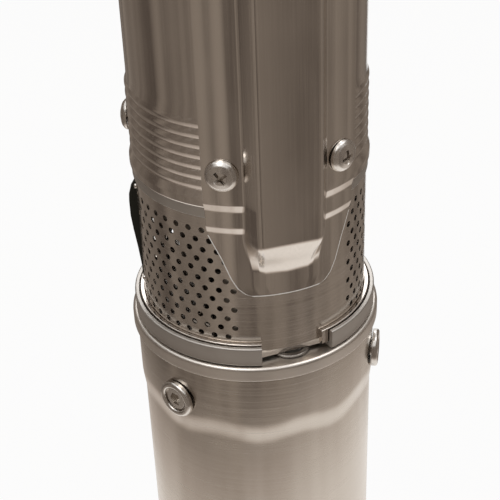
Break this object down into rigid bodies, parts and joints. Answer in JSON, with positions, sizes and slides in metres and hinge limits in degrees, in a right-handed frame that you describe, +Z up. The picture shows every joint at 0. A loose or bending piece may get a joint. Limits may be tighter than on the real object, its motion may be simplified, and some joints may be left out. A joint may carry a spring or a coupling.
{
  "type": "submersible pump",
  "caption": "Slim upright borehole pump: smooth motor tube below, perforated intake strainer, ribbed pump tube with a long cable guard, and a screwed outlet head with rope eyelets.",
  "frame": {"origin": "centre of the motor's flat base", "axes": "+Z up the shaft towards the outlet, the cable guard faces -Y, +X to the right of someone who faces the guard"},
  "size_m": [0.1, 0.1037, 0.7746],
  "materials": {
    "brushed_steel": "drawn stainless sheet, satin with fine lines along the tube",
    "cast_steel": "turned stainless casting, soft satin",
    "bright_steel": "bright machined stainless steel",
    "iron": "dull lamination stack",
    "copper": "lacquered copper winding",
    "bronze": "machined bronze",
    "rubber": "matt black rubber",
    "ceramic": "lapped seal face",
    "black_plastic": "moulded socket cap, matt"
  },
  "bodies": {
    "housing": {"motor_casing": "brushed_steel", "motor_base": "cast_steel", "diaphragm": "rubber", "motor_lower_bracket": "cast_steel", "motor_thrust_bearing": "bright_steel", "motor_upper_bearing": "bright_steel", "stator_core": "iron", "winding_lower": "copper", "winding_upper": "copper", "motor_top_bracket": "cast_steel", "casing_screw_1": "bright_steel", "casing_screw_2": "bright_steel", "casing_screw_3": "bright_steel", "lead_socket": "black_plastic", "seal_seat": "ceramic", "suction_bracket": "cast_steel", "flange_stud_1": "bright_steel", "flange_stud_2": "bright_steel", "flange_stud_3": "bright_steel", "flange_stud_4": "bright_steel", "stud_nut_1": "bright_steel", "stud_nut_2": "bright_steel", "stud_nut_3": "bright_steel", "stud_nut_4": "bright_steel", "strainer_screen": "brushed_steel", "strainer_ring": "brushed_steel", "pump_shell": "brushed_steel", "lower_o_ring": "rubber", "upper_o_ring": "rubber", "stage_bowl_1": "brushed_steel", "stage_bowl_2": "brushed_steel", "stage_bowl_3": "brushed_steel", "stage_bowl_4": "brushed_steel", "top_spider": "cast_steel", "top_bearing": "rubber", "cable_guard": "brushed_steel", "guard_screw_1": "bright_steel", "guard_screw_2": "bright_steel", "guard_screw_3": "bright_steel", "guard_screw_4": "bright_steel", "shell_lock_screw_1": "bright_steel", "shell_lock_screw_2": "bright_steel", "discharge_head": "cast_steel", "outlet_socket": "cast_steel", "valve_guide": "cast_steel", "valve_spring": "bright_steel"},
    "motor_rotor": {"motor_shaft": "bright_steel", "rotor_core": "iron", "seal_ring": "ceramic", "seal_bellows": "rubber", "sand_slinger": "rubber"},
    "pump_rotor": {"pump_shaft": "bright_steel", "shaft_nut": "bright_steel", "shaft_coupling": "bright_steel", "impeller_1": "brushed_steel", "impeller_2": "brushed_steel", "impeller_3": "brushed_steel", "impeller_4": "brushed_steel"},
    "check_valve": {"valve_poppet": "bronze"}
  },
  "joints": [
    {"name": "motor_spin", "type": "hinge", "parent": "housing", "child": "motor_rotor", "pos_m": [0, 0, 0.37], "axis": [0, 0, 1], "continuous": true},
    {"name": "pump_spin", "type": "hinge", "parent": "housing", "child": "pump_rotor", "pos_m": [0, 0, 0.4703], "axis": [0, 0, 1], "continuous": true},
    {"name": "valve_lift", "type": "slide", "parent": "housing", "child": "check_valve", "axis": [0, 0, 1], "range_m": [0, 0.008], "stiffness_N_per_m": 100, "springref_m": -0.01, "deforming": ["valve_spring"]}
  ],
  "couplings": [
    {"joint": "pump_spin", "follows": "motor_spin", "ratio": 1}
  ]
}
